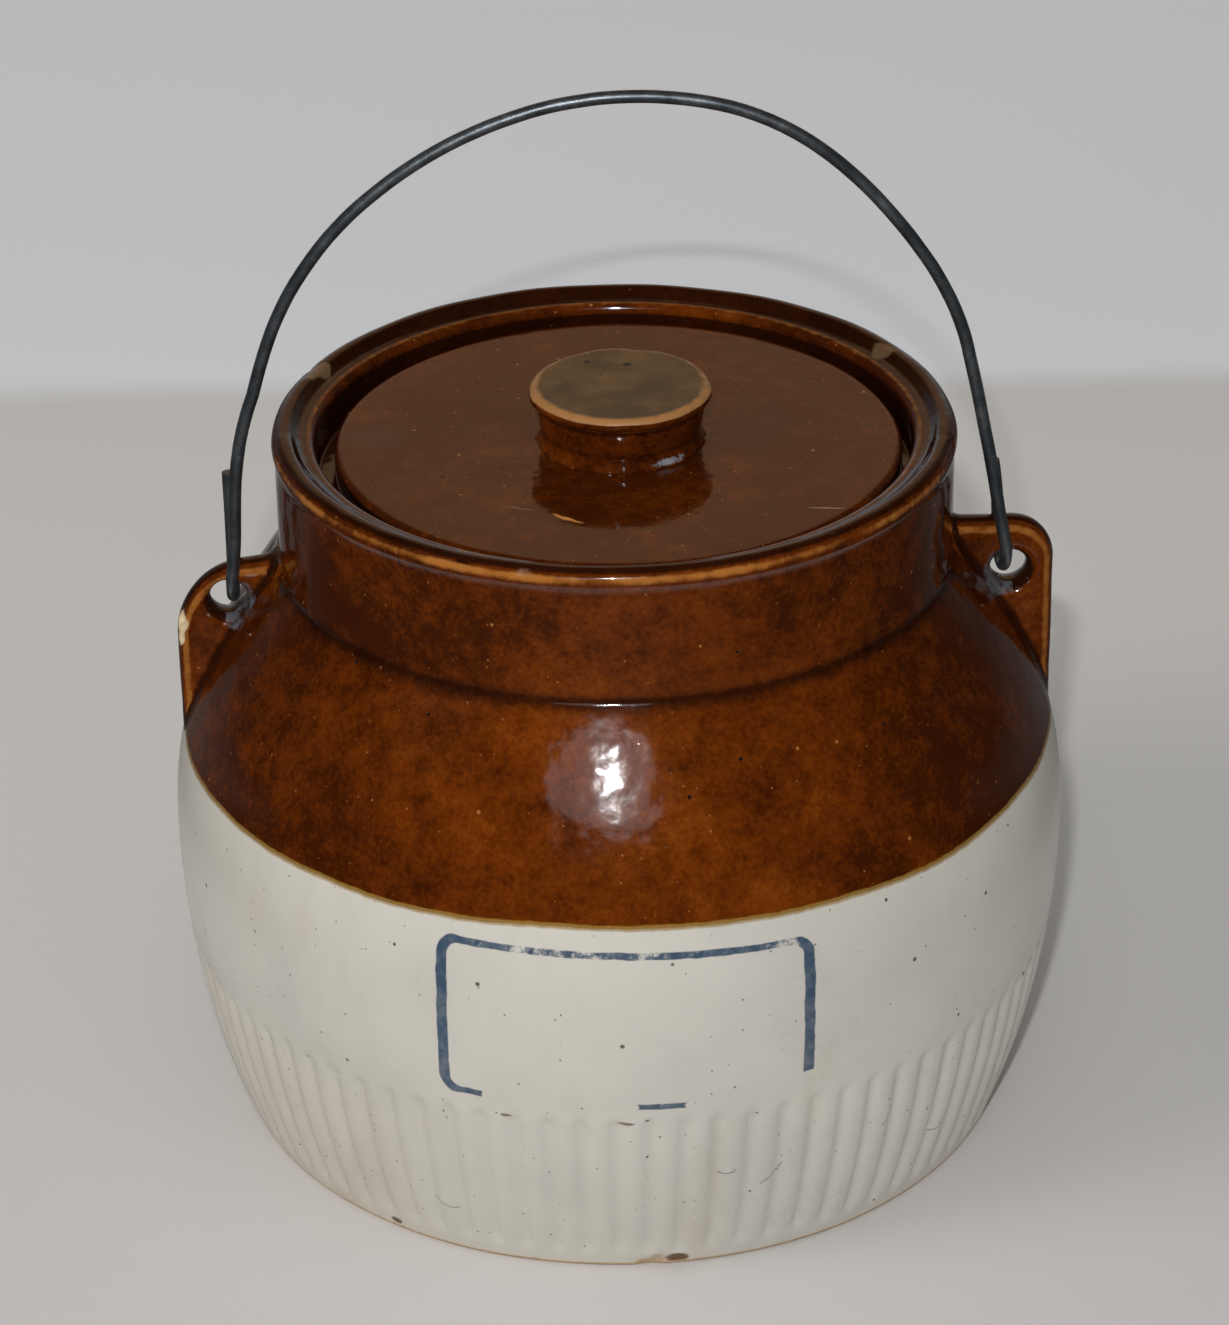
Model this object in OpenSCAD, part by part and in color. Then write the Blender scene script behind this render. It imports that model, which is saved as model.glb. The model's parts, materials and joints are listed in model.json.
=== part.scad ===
// Stoneware butter crock: a bulging two-tone pot with a short upright neck, a sunk lid
// with a disc knob, two pierced ears and a single bent wire bail hooked through them.
// Millimetres, +Z up. The origin is the middle of the foot, on the surface the pot stands on.
// The two ears lie along X and the plain front faces -Y.

/* [Pot] */

// Greatest diameter of the pot
body_d = 190; // [176:1:228]
// Height of the greatest diameter above the foot
widest_z = 64; // [52:1:78]
// Radius of the long curve of the belly, seen from the side
belly_r = 180; // [140:1:240]
// Height above the greatest diameter where the belly turns into the shoulder
turn_rise = 6; // [2:0.5:12]
// Radius of that turn, seen from the side
turn_r = 70; // [50:1:90]
// Lean of the wall, in degrees from upright, where the turn ends
turn_end = 27; // [22:0.5:30]
// Radius of the long curve of the shoulder, seen from the side
shoulder_r = 170; // [120:1:240]
// Thickness of the wall
wall = 8; // [6:0.5:11]
// Thickness of the floor
floor_t = 9; // [6:0.5:14]
// Radius inside the pot between wall and floor
inner_corner_r = 12; // [6:1:20]
// Width of the ring that the pot stands on
foot_w = 14; // [8:1:24]
// Depth of the hollow inside that ring
foot_hollow = 1.5; // [0.5:0.1:3]

/* [Neck and rim] */

// Outside diameter of the upright neck
neck_d = 140.8; // [117:0.2:144]
// Radius of the hollow between neck and shoulder
neck_fillet = 3; // [1:0.5:6]
// Height of the rim above the hollow between neck and shoulder
neck_h = 27.6; // [23:0.1:34]
// Radius of the rolled lip round the outside of the rim
lip_r = 2.7; // [1.5:0.1:3.5]
// How far the lip stands out from the neck
lip_out = 0.6; // [0.2:0.1:2]
// Thickness of the neck's wall at the rim, above the ledge
rim_w = 8.4; // [7:0.1:11]
// How far the inner edge of the rim lies below the lip
rim_drop = 2.3; // [0.5:0.1:4]
// Radius of the inner edge of the rim
rim_edge_r = 1.5; // [0.5:0.1:2.5]
// Width of the ledge that the lid rests on
ledge_w = 7; // [4:0.5:10]
// Thickness of the ledge at its inner edge
ledge_t = 6; // [4:0.5:10]

/* [Lid] */

// Thickness of the lid at its edge
lid_t = 7; // [5:0.5:10]
// Top of the lid below the rim
lid_sunk = 4.8; // [3:0.1:8]
// Gap between the lid and the rim all round
lid_gap = 3.1; // [1:0.1:5]
// Radius of the lid's upper and lower edges
lid_edge_r = 1.5; // [0.5:0.1:3]
// How far the lid happens to sit to one side
lid_shift = 0.8; // [0:0.1:0.8]
// Diameter of the knob's flat head
knob_d = 38.2; // [30:0.2:50]
// Thickness of the knob's head at its edge
knob_head_t = 2.6; // [2:0.1:5]
// Diameter of the knob's stem under the head
knob_neck_d = 35.6; // [26:0.2:46]
// Diameter of the knob's stem at the lid
knob_foot_d = 33; // [24:0.2:46]
// Height of the knob's head above the lid
knob_h = 12.2; // [9:0.1:20]
// How far the knob was set off the middle of the lid
knob_shift = 0.6; // [0:0.1:2]

/* [Ears] */

// Thickness of the ears, which have fully rounded edges
ear_t = 9; // [7.5:0.1:10.8]
// Distance of the ears' outer edges inside the greatest diameter of the pot
ear_inset = 2.2; // [0:0.1:4]
// How much lower the left ear's top is than the right ear's
ear_step = 2.5; // [0:0.1:3]
// Radius of the left ear's outer corner
ear_corner_left = 15; // [10:0.5:16]
// Radius of the right ear's outer corner
ear_corner_right = 10; // [9.5:0.5:14]
// Diameter of the hole through each ear
hole_d = 9.8; // [9:0.1:11]
// Distance of the holes' middle below the hollow between neck and shoulder
hole_low = 9.8; // [8:0.1:10]
// Flat width left between the left hole and the ear's rounded outer edge
hole_web_left = 1.9; // [0.4:0.1:2.8]
// Flat width left between the right hole and the ear's rounded outer edge
hole_web_right = 0.4; // [0.2:0.1:2]
// How far the middle of the holes lies below the wire in them
hole_drop = 0.2; // [0:0.1:0.8]
// Width of the flare at each end of the holes
hole_flare = 1.2; // [0.4:0.1:1.6]

/* [Bail] */

// Diameter of the wire
wire_d = 2.7; // [2.2:0.02:3.24]
// Gap between the hooked wire and the rounded top of the right ear
hook_gap = 0.75; // [0.5:0.05:1]
// How far the hooked ends hang outside the middle of the left hole
hook_out = 0; // [-0.5:0.1:1]
// How far the sides of the arch lie inside the hooked ends
arch_in = 7; // [0:0.5:9]
// Height of the top of the wire's middle above the rim
arch_rise = 73.5; // [55:0.5:105]
// How much thicker the wire is where it was bent by hand
bend_swell = 0.1; // [0.05:0.01:0.2]
// Length of the left loose end above the hinge axis
tail_left = 18; // [10:0.5:30]
// Length of the right loose end above the hinge axis
tail_right = 14; // [10:0.5:30]

/* [Hidden] */

$fn = 96;
eps = 0.01;

// The side view of the wall is three arcs that run smoothly into one another.
belly_c = [body_d / 2 - belly_r, widest_z];
turn_z = widest_z + turn_rise;
turn_start = asin(turn_rise / belly_r);
turn_c = belly_c + (belly_r - turn_r) * [cos(turn_start), sin(turn_start)];
turn_end_z = turn_c[1] + turn_r * sin(turn_end);
shoulder_c = turn_c + (turn_r - shoulder_r) * [cos(turn_end), sin(turn_end)];

neck_r = neck_d / 2;
fillet_x = neck_r + neck_fillet;
fillet_z = shoulder_c[1] + sqrt(pow(shoulder_r + neck_fillet, 2) - pow(fillet_x - shoulder_c[0], 2));
fillet_c = [fillet_x, fillet_z];
fillet_touch = shoulder_c + (fillet_c - shoulder_c) * shoulder_r / (shoulder_r + neck_fillet);

// Heights above the shoulder count from here, to a tenth of a millimetre.
shoulder_z = round(fillet_z * 10) / 10;
rim_z = shoulder_z + neck_h;
mouth_r = neck_r - rim_w;
lip_x = neck_r + lip_out - lip_r;
lid_top_z = rim_z - lid_sunk;
ledge_z = lid_top_z - lid_t;
ledge_r = mouth_r - ledge_w;
lid_r = mouth_r - lid_gap;
foot_r = belly_c[0] + sqrt(pow(belly_r, 2) - pow(widest_z, 2));

// The hooked ends turn about the middle of the right ear's rounded top.
ear_reach = body_d / 2 - ear_inset;
hole_z = shoulder_z - hole_low;
hook_r = ear_t / 2 + hook_gap + wire_d / 2;
hinge_z = hole_z + hole_drop + hook_r;
ear_top_right = hinge_z + ear_t / 2;
ear_top_left = ear_top_right - ear_step;
hole_x_left = ear_reach - ear_t / 2 - hole_web_left - hole_d / 2;
hole_x_right = ear_reach - ear_t / 2 - hole_web_right - hole_d / 2;

// The arch's two legs run straight down from it to the hooked ends.
hook_x = hole_x_left + hook_out;
arch_r = hook_x - arch_in;
arch_c = rim_z + arch_rise - arch_r;
leg_reach = sqrt(pow(hook_x, 2) + pow(arch_c - hinge_z, 2));
leg_angle = acos(arch_r / leg_reach) - atan((arch_c - hinge_z) / hook_x);
leg_top = [arch_r * cos(leg_angle), arch_c + arch_r * sin(leg_angle)];

stoneware = [0.86, 0.84, 0.78];
brown_glaze = [0.36, 0.17, 0.08];
tan_clay = [0.66, 0.5, 0.3];
wire_grey = [0.35, 0.37, 0.38];

// A band of the side view: everything from the axis out to one arc, between two heights.
module arc_band(centre, radius, z0, z1) {
    intersection() {
        translate(centre) circle(r = radius, $fn = 180);
        translate([0, z0]) square([body_d, z1 - z0]);
    }
    if (centre[0] > 0) translate([0, z0]) square([centre[0], z1 - z0]);
}

// The side view of the pot up to the neck, drawn in by a distance all over.
module wall_outline(inset = 0, z0 = 0) {
    arc_band(belly_c, belly_r - inset, z0, turn_z);
    arc_band(turn_c, turn_r - inset, turn_z, turn_end_z);
    arc_band(shoulder_c, shoulder_r - inset, turn_end_z, fillet_touch[1]);
}

// The hollow curve between shoulder and neck.
module neck_hollow() {
    difference() {
        polygon([
            [neck_r - wall, fillet_touch[1]],
            fillet_touch,
            fillet_c,
            [neck_r - wall, fillet_z]
        ]);
        translate(fillet_c) circle(r = neck_fillet);
    }
}

// The rim leans in from the rolled lip to a rounded inner edge.
module rim_outline() {
    edge_z = rim_z - rim_drop - rim_edge_r;
    translate([lip_x, rim_z - lip_r]) circle(r = lip_r);
    translate([mouth_r + rim_edge_r, edge_z]) circle(r = rim_edge_r);
    polygon([
        [mouth_r, ledge_z - eps],
        [neck_r, ledge_z - eps],
        [neck_r, rim_z - lip_r],
        [lip_x, rim_z - lip_r],
        [lip_x - lip_r * sin(28), rim_z - lip_r + lip_r * cos(28)],
        [mouth_r + rim_edge_r, rim_z - rim_drop],
        [mouth_r, edge_z]
    ]);
}

module bulge() {
    rotate_extrude($fn = 180) wall_outline();
}

module neck() {
    translate([0, 0, turn_end_z]) cylinder(r = neck_r, h = ledge_z - turn_end_z, $fn = 180);
    rotate_extrude($fn = 180) neck_hollow();
}

module cavity() {
    corner_x = belly_c[0] + sqrt(pow(belly_r - wall, 2) - pow(floor_t + inner_corner_r - widest_z, 2))
        - inner_corner_r;
    throat_z = ledge_z - ledge_t - ledge_w;
    rotate_extrude($fn = 180) {
        intersection() {
            wall_outline(wall, floor_t + inner_corner_r);
            square([body_d, throat_z]);
        }
        translate([0, floor_t]) square([corner_x, inner_corner_r + eps]);
        intersection() {
            translate([corner_x, floor_t + inner_corner_r]) circle(r = inner_corner_r);
            translate([0, floor_t]) square([body_d, inner_corner_r + eps]);
        }
        polygon([
            [0, turn_end_z],
            [ledge_r, turn_end_z],
            [mouth_r, fillet_touch[1] - eps],
            [mouth_r, throat_z],
            [ledge_r, throat_z + ledge_w],
            [ledge_r, ledge_z + eps],
            [0, ledge_z + eps]
        ]);
    }
}

module crock_body() {
    color(stoneware)
        difference() {
            union() {
                bulge();
                neck();
                rotate_extrude($fn = 180) rim_outline();
            }
            cavity();
            translate([0, 0, -eps])
                cylinder(r1 = foot_r - foot_w + foot_hollow, r2 = foot_r - foot_w, h = foot_hollow + eps);
        }
}

// A slice through an ear's edge: flat on both faces and round outside.
module ear_section(depth) {
    translate([0, -ear_t / 2]) square([depth, ear_t]);
    translate([depth, 0])
        intersection() {
            circle(d = ear_t);
            translate([0, -ear_t / 2]) square([ear_t / 2, ear_t]);
        }
}

// A round-edged plate standing out from the neck, turned to +X.
module ear(top, corner, hole_x) {
    half = ear_t / 2;
    edge_x = ear_reach - half;
    edge_z = top - half;
    bend = corner - half;
    low_z = turn_z + 6;
    root_x = neck_r - wall;
    difference() {
        union() {
            translate([root_x, 0, low_z])
                linear_extrude(edge_z - bend - low_z) ear_section(edge_x - root_x);
            translate([edge_x - bend, 0, edge_z - bend]) {
                rotate([90, 0, 0]) rotate_extrude(angle = 90) ear_section(bend);
                rotate([0, -90, 0]) linear_extrude(edge_x - bend - root_x) ear_section(bend);
            }
        }
        translate([hole_x, half + eps, hole_z]) rotate([90, 0, 0]) cylinder(d = hole_d, h = ear_t + 2 * eps);
        for (side = [-1, 1])
            translate([hole_x, side * (half + eps), hole_z])
                rotate([side * 90, 0, 0])
                    cylinder(r1 = hole_d / 2 + hole_flare, r2 = hole_d / 2, h = hole_flare);
        bulge();
        neck();
    }
}

module left_ear() {
    color(brown_glaze) mirror([1, 0, 0]) ear(ear_top_left, ear_corner_left, hole_x_left);
}

module right_ear() {
    color(brown_glaze) ear(ear_top_right, ear_corner_right, hole_x_right);
}

module lid_plate() {
    color(brown_glaze)
        translate([lid_shift, 0, ledge_z])
            rotate_extrude($fn = 180) {
                square([lid_r - lid_edge_r, lid_t]);
                translate([0, lid_edge_r]) square([lid_r, lid_t - 2 * lid_edge_r]);
                translate([lid_r - lid_edge_r, lid_edge_r]) circle(r = lid_edge_r);
                translate([lid_r - lid_edge_r, lid_t - lid_edge_r]) circle(r = lid_edge_r);
            }
}

module lid_knob() {
    head_r = knob_d / 2;
    round_r = knob_head_t / 2;
    color(tan_clay)
        translate([lid_shift + knob_shift, 0, lid_top_z])
            rotate_extrude() {
                polygon([
                    [0, 0],
                    [knob_foot_d / 2, 0],
                    [knob_neck_d / 2, knob_h - knob_head_t],
                    [head_r - round_r, knob_h - knob_head_t],
                    [head_r - round_r, knob_h],
                    [0, knob_h]
                ]);
                translate([head_r - round_r, knob_h - round_r]) circle(r = round_r);
            }
}

// One end of the bail on the +X side: leg, hook round the ear's top strip, and loose end.
module bail_end(tail) {
    leg = leg_top - [hook_x, hinge_z];
    translate([hook_x, -hook_r, hinge_z]) {
        sphere(d = wire_d + bend_swell);
        rotate([0, atan2(leg[0], leg[1]), 0]) cylinder(d = wire_d, h = norm(leg));
        translate([leg[0], 0, leg[1]]) sphere(d = wire_d + bend_swell);
    }
    translate([hook_x, 0, hinge_z])
        rotate([0, 90, 0]) rotate([0, 0, -90])
            rotate_extrude(angle = 180) translate([hook_r, 0]) circle(d = wire_d);
    translate([hook_x, hook_r, hinge_z]) cylinder(d = wire_d, h = tail);
}

module bail_wire() {
    color(wire_grey) {
        translate([0, -hook_r, arch_c])
            rotate([90, 0, 0]) rotate([0, 0, leg_angle])
                rotate_extrude(angle = 180 - 2 * leg_angle, $fn = 180)
                    translate([arch_r, 0]) circle(d = wire_d, $fn = 48);
        bail_end(tail_right);
        mirror([1, 0, 0]) bail_end(tail_left);
    }
}

crock_body();
left_ear();
right_ear();
lid_plate();
lid_knob();
bail_wire();
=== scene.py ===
"""The finished look of a stoneware butter crock: a two-glaze pot with moulded reeds, pierced ears,
a sunk lid with a disc knob, and a wire bail hooked through the ears.

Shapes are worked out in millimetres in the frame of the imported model, and meshes are made in metres.
Angles round the pot are in degrees: 0 is the right ear, 180 the left ear and -90 the front.
"""

import json
from math import atan2, cos, hypot, pi, radians, sin, sqrt

import bpy
import numpy as np
from mathutils import Matrix, Vector


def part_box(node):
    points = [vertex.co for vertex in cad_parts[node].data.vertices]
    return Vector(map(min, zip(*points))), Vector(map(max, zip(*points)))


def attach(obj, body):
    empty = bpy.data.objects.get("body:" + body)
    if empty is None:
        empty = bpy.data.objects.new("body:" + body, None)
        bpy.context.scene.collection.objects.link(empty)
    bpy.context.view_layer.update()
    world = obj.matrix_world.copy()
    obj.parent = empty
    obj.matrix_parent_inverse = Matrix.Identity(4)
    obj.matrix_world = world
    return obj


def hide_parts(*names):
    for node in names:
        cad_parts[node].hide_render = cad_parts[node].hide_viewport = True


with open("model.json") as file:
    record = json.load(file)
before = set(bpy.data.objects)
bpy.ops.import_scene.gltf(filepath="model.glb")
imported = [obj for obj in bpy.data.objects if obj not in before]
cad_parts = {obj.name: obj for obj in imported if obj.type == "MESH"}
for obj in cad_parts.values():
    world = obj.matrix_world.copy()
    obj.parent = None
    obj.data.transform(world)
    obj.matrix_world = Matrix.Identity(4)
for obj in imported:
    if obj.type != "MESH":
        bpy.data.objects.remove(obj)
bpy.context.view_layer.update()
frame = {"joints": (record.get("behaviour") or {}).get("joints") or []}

MM = 0.001


def node_box(name):
    low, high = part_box(name)
    return low / MM, high / MM


pot_low, pot_high = node_box("crock_body")
lid_low, lid_high = node_box("lid_plate")
knob_low, knob_high = node_box("lid_knob")
bail_low, bail_high = node_box("bail_wire")
left_low, left_high = node_box("left_ear")
right_low, right_high = node_box("right_ear")

# ---- Pot sizes ----

SKIN_SLACK = 0.05
GIRTH_R = pot_high.x - SKIN_SLACK
GIRTH_Z = 64
BELLY_R = 180
TURN_Z = 70
TURN_R = 70
TURN_END = 27
SHOULDER_R = 170
WALL = 8
FLOOR_Z = 9
CORNER_R = 12
FOOT_W = 14
FOOT_HOLLOW = 1.5
FOOT_EDGE_R = 0.9

NECK_R = 70.4
NECK_FILLET = 3
RIM_Z = pot_high.z
LIP_R = 2.7
LIP_C = (NECK_R + 0.6 - LIP_R, RIM_Z - LIP_R)
MOUTH_R = 62
RIDGE_R = 1.5
RIDGE_C = (MOUTH_R + RIDGE_R, RIM_Z - 2.3 - RIDGE_R)
LEDGE_Z = lid_low.z
LEDGE_W = 7
LEDGE_T = 6

REEDS = 84
REED_DEPTH = 0.95
REED_LOW = 4.2
REED_TOP = 43.3
GLAZE_Z = 86.8

belly_c = (GIRTH_R - BELLY_R, GIRTH_Z)
turn_start = atan2(TURN_Z - GIRTH_Z, sqrt(BELLY_R**2 - (TURN_Z - GIRTH_Z) ** 2))
turn_c = (
    belly_c[0] + (BELLY_R - TURN_R) * cos(turn_start),
    belly_c[1] + (BELLY_R - TURN_R) * sin(turn_start),
)
turn_end_z = turn_c[1] + TURN_R * sin(radians(TURN_END))
shoulder_c = (
    turn_c[0] + (TURN_R - SHOULDER_R) * cos(radians(TURN_END)),
    turn_c[1] + (TURN_R - SHOULDER_R) * sin(radians(TURN_END)),
)
fillet_c = (
    NECK_R + NECK_FILLET,
    shoulder_c[1] + sqrt((SHOULDER_R + NECK_FILLET) ** 2 - (NECK_R + NECK_FILLET - shoulder_c[0]) ** 2),
)
shoulder_end = atan2(fillet_c[1] - shoulder_c[1], fillet_c[0] - shoulder_c[0])
shoulder_end_z = shoulder_c[1] + SHOULDER_R * sin(shoulder_end)


def wall_radius(z, inset=0):
    """Radius of the pot's wall at a height below the neck, drawn in by a distance."""
    if z <= TURN_Z:
        centre, radius = belly_c, BELLY_R
    elif z <= turn_end_z:
        centre, radius = turn_c, TURN_R
    else:
        centre, radius = shoulder_c, SHOULDER_R
    return centre[0] + sqrt((radius - inset) ** 2 - (z - centre[1]) ** 2)


# ---- Mesh helpers ----


def finish_mesh(name, points, faces, material, body, node, paint=None):
    """Makes a smooth piece from millimetre points, with its painted masks, and puts it in the frame."""
    mesh = bpy.data.meshes.new(name)
    mesh.from_pydata((np.asarray(points) * MM).tolist(), [], faces)
    mesh.validate()
    for key, values in (paint or {}).items():
        mesh.attributes.new(key, "FLOAT", "POINT").data.foreach_set("value", np.asarray(values, np.float32))
    piece = bpy.data.objects.new(name, mesh)
    bpy.context.scene.collection.objects.link(piece)
    mesh.materials.append(material)
    mesh.shade_smooth()
    return dress(piece, body, node)


def dress(piece, body, node):
    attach(piece, body)
    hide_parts(node)
    return piece


def arc(centre, radius, start, end, count):
    """Points of an arc in the side view, by angle in degrees: 0 is outwards and 90 is up."""
    angles = np.radians(np.linspace(start, end, count))
    return [(centre[0] + radius * cos(a), centre[1] + radius * sin(a)) for a in angles]


def line(start, end, count, sag=0):
    """Points of a line in the side view, hanging down by sag in the middle."""
    (x, z), (run, rise) = start, (end[0] - start[0], end[1] - start[1])
    return [(x + run * t, z + rise * t - sag * sin(pi * t)) for t in np.linspace(0, 1, count)]


def turned(outline, turns, shape=None, centre=0.0):
    """Turns an outline that starts and ends on the axis into closed points and faces.

    shape(radius, height, angle) may push the surface about. Rings run from the outline's start to its end.
    """
    rings = outline[1:-1]
    radius = np.repeat([p[0] for p in rings], turns)
    height = np.repeat([p[1] for p in rings], turns)
    angle = np.tile(np.arange(turns) * 2 * pi / turns, len(rings))
    if shape:
        radius, height = shape(radius, height, angle)
    around = np.stack([centre + radius * np.cos(angle), radius * np.sin(angle), height], 1)
    points = np.vstack([around, [[centre, 0, outline[0][1]], [centre, 0, outline[-1][1]]]])
    first, last = len(around), len(around) + 1
    faces = []
    for ring in range(len(rings) - 1):
        a, b = ring * turns, (ring + 1) * turns
        faces += [(a + i, a + (i + 1) % turns, b + (i + 1) % turns, b + i) for i in range(turns)]
    top = (len(rings) - 1) * turns
    for i in range(turns):
        faces.append((first, (i + 1) % turns, i))
        faces.append((last, top + i, top + (i + 1) % turns))
    return points, faces


def fade(value, low, high):
    """Rises smoothly from 0 at low to 1 at high."""
    t = np.clip((value - low) / (high - low), 0, 1)
    return t * t * (3 - 2 * t)


# ---- Node helpers ----


class Shade:
    """One output of a node. Arithmetic on it adds Math nodes, so a mask reads as an expression."""

    def __init__(self, kit, socket):
        self.kit, self.socket = kit, socket

    def other(self, name):
        return Shade(self.kit, self.socket.node.outputs[name])

    def math(self, operation, *values):
        return self.kit.node("ShaderNodeMath", {"operation": operation}, dict(enumerate((self, *values))))

    def __add__(self, value):
        return self.math("ADD", value)

    def __sub__(self, value):
        return self.math("SUBTRACT", value)

    def __rsub__(self, value):
        return self.kit.node("ShaderNodeMath", {"operation": "SUBTRACT"}, {0: value, 1: self})

    def __mul__(self, value):
        return self.math("MULTIPLY", value)

    def __pow__(self, value):
        return self.math("POWER", value)

    __radd__ = __add__
    __rmul__ = __mul__


class Kit:
    """A node tree and the ways of adding to it."""

    def __init__(self, tree):
        self.tree = tree

    def node(self, kind, settings=None, sockets=None, out=0):
        made = self.tree.nodes.new(kind)
        for key, value in (settings or {}).items():
            if key == "stops":
                self.set_stops(made.color_ramp, value)
            else:
                setattr(made, key, value)
        for key, value in (sockets or {}).items():
            if isinstance(value, Shade):
                self.tree.links.new(value.socket, made.inputs[key])
            else:
                made.inputs[key].default_value = value
        return Shade(self, made.outputs[out]) if made.outputs else made

    @staticmethod
    def set_stops(ramp, stops):
        while len(ramp.elements) < len(stops):
            ramp.elements.new(0.5)
        for element, (place, colour) in zip(ramp.elements, stops):
            element.position = place
            element.color = (*colour, 1)

    def step(self, value, low, high):
        """Rises smoothly from 0 at low to 1 at high."""
        return self.node(
            "ShaderNodeMapRange",
            {"interpolation_type": "SMOOTHSTEP"},
            {"Value": value, "From Min": low, "From Max": high},
        )

    def split(self, vector):
        first = self.node("ShaderNodeSeparateXYZ", sockets={0: vector})
        return first, first.other("Y"), first.other("Z")


class Finish(Kit):
    """A material for a piece, patterned by its place in the frame."""

    def __init__(self, name):
        self.material = bpy.data.materials.new(name)
        self.material.use_nodes = True
        super().__init__(self.material.node_tree)
        self.tree.nodes.clear()
        self.place = self.node("ShaderNodeTexCoord", out="Object")
        self.x, self.y, self.z = (axis * (1 / MM) for axis in self.split(self.place))

    def noise(self, size, detail=3.0, rough=0.5, stretch=(1, 1, 1), distort=0.0):
        """Noise from 0 to 1 with marks of about a size in millimetres."""
        place = self.place
        if stretch != (1, 1, 1):
            place = self.node("ShaderNodeVectorMath", {"operation": "MULTIPLY"}, {0: place, 1: stretch})
        sockets = {"Vector": place, "Scale": 1 / (size * MM), "Detail": detail, "Roughness": rough}
        return self.node("ShaderNodeTexNoise", sockets=sockets | {"Distortion": distort})

    def specks(self, spacing, radius, share):
        """Scattered round specks, a share of the cells of a spacing, with radii up to the one given."""
        cell = self.node("ShaderNodeTexVoronoi", sockets={"Vector": self.place, "Scale": 1 / (spacing * MM)})
        chance, size, _ = self.split(cell.other("Color"))
        reach = (size * 0.7 + 0.3) * (radius / spacing)
        return (1 - self.step(cell, reach * 0.55, reach)) * chance.math("GREATER_THAN", 1 - share)

    def blend(self, below, above, mask):
        return self.node("ShaderNodeMix", {"data_type": "RGBA"}, {0: mask, 6: below, 7: above}, out=2)

    def colour(self, value):
        return (*value, 1)

    def painted(self, name):
        return self.node("ShaderNodeAttribute", {"attribute_name": name}, out="Fac")

    def surface(self, colour, rough, relief, metal=0.0, ior=1.5, glow=None):
        bump = self.node("ShaderNodeBump", sockets={"Strength": 1.0, "Distance": MM, "Height": relief})
        sockets = {"Base Color": colour, "Roughness": rough, "Metallic": metal, "IOR": ior, "Normal": bump}
        if glow:
            sockets |= {"Emission Color": glow, "Emission Strength": 1.0}
        shader = self.node("ShaderNodeBsdfPrincipled", sockets=sockets)
        self.node("ShaderNodeOutputMaterial", sockets={"Surface": shader})
        return self.material


# ---- Finishes ----

BROWN_DARK = (0.046, 0.0085, 0.0009)
BROWN = (0.130, 0.0255, 0.0019)
BROWN_WARM = (0.240, 0.0590, 0.0050)
# Dark of pooled glaze, also used as painted shade in recesses, gaps and under parts.
BROWN_POOL_AND_SHADE = (0.012, 0.0030, 0.0014)
# Orange of glaze worn thin on edges, made bright enough to stand also for a painted highlight along the rim's
# front lip.
WORN_ORANGE_AND_GLEAM = (0.42, 0.155, 0.030)
AMBER_SPECK = (0.45, 0.18, 0.045)
CREAM = (0.655, 0.625, 0.555)
CREAM_GREY = (0.59, 0.565, 0.505)
CREAM_STAIN = (0.52, 0.44, 0.33)
OCHRE = (0.35, 0.200, 0.040)
CLAY_CREAM = (0.66, 0.53, 0.34)
CLAY_TAN = (0.40, 0.215, 0.090)
BLACK_SPECK = (0.010, 0.008, 0.007)
STAMP_BLUE = (0.018, 0.058, 0.118)
MILKY_BLUE = (0.20, 0.22, 0.25)


def brown_slip(f, contrast=1.0, deeper=0.0, wavy=1.0):
    """Iron slip glaze: mottled brown, with amber and black specks. Gives its colour, roughness and relief."""
    cloud = f.noise(20, detail=3, rough=0.5, distort=0.3) * 0.32
    mottle = f.noise(4.5, detail=4, rough=0.65) * 0.30
    grain = f.noise(1.0, detail=2, rough=0.5) * 0.20
    tone = (cloud + mottle + grain - 0.41) * contrast + (0.5 - deeper)
    colour = f.node(
        "ShaderNodeValToRGB",
        {"stops": [(0.38, BROWN_DARK), (0.50, BROWN), (0.64, BROWN_WARM)]},
        {"Fac": tone},
    )
    amber = f.specks(2.2, 0.34, 0.40) * 0.5 + f.specks(4.5, 0.55, 0.30) * 0.7
    black = f.specks(5, 0.60, 0.28)
    colour = f.blend(colour, f.colour(AMBER_SPECK), amber)
    colour = f.blend(colour, f.colour(BLACK_SPECK), black)
    rough = 0.07 + mottle * 0.17 + amber * 0.15
    waves = f.noise(13, detail=1) * 0.22 + f.noise(5.0, detail=1) * 0.095 + f.noise(1.6, detail=1) * 0.011
    relief = waves * wavy - black * 0.12 + amber * 0.01
    return colour, rough, relief


def edge_wear_shade_and_gleam(f, colour, rough, pooled, worn):
    """Glaze that ran thick is dark, and the same dark is also painted shade in recesses, gaps and under
    parts. Glaze that ran thin over an edge is orange, which on the rim's front lip also stands for a painted
    highlight.
    """
    ragged = f.noise(2.2, detail=4, rough=0.6) - 0.5
    thick_and_shaded = f.step(pooled + ragged * 0.5, 0.25, 0.85)
    thin_and_gleam = f.step(worn + ragged * 0.55, 0.30, 0.75)
    colour = f.blend(colour, f.colour(BROWN_POOL_AND_SHADE), thick_and_shaded * 0.85)
    colour = f.blend(colour, f.colour(WORN_ORANGE_AND_GLEAM), thin_and_gleam * 0.85)
    return colour, rough + thin_and_gleam * 0.03


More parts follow.
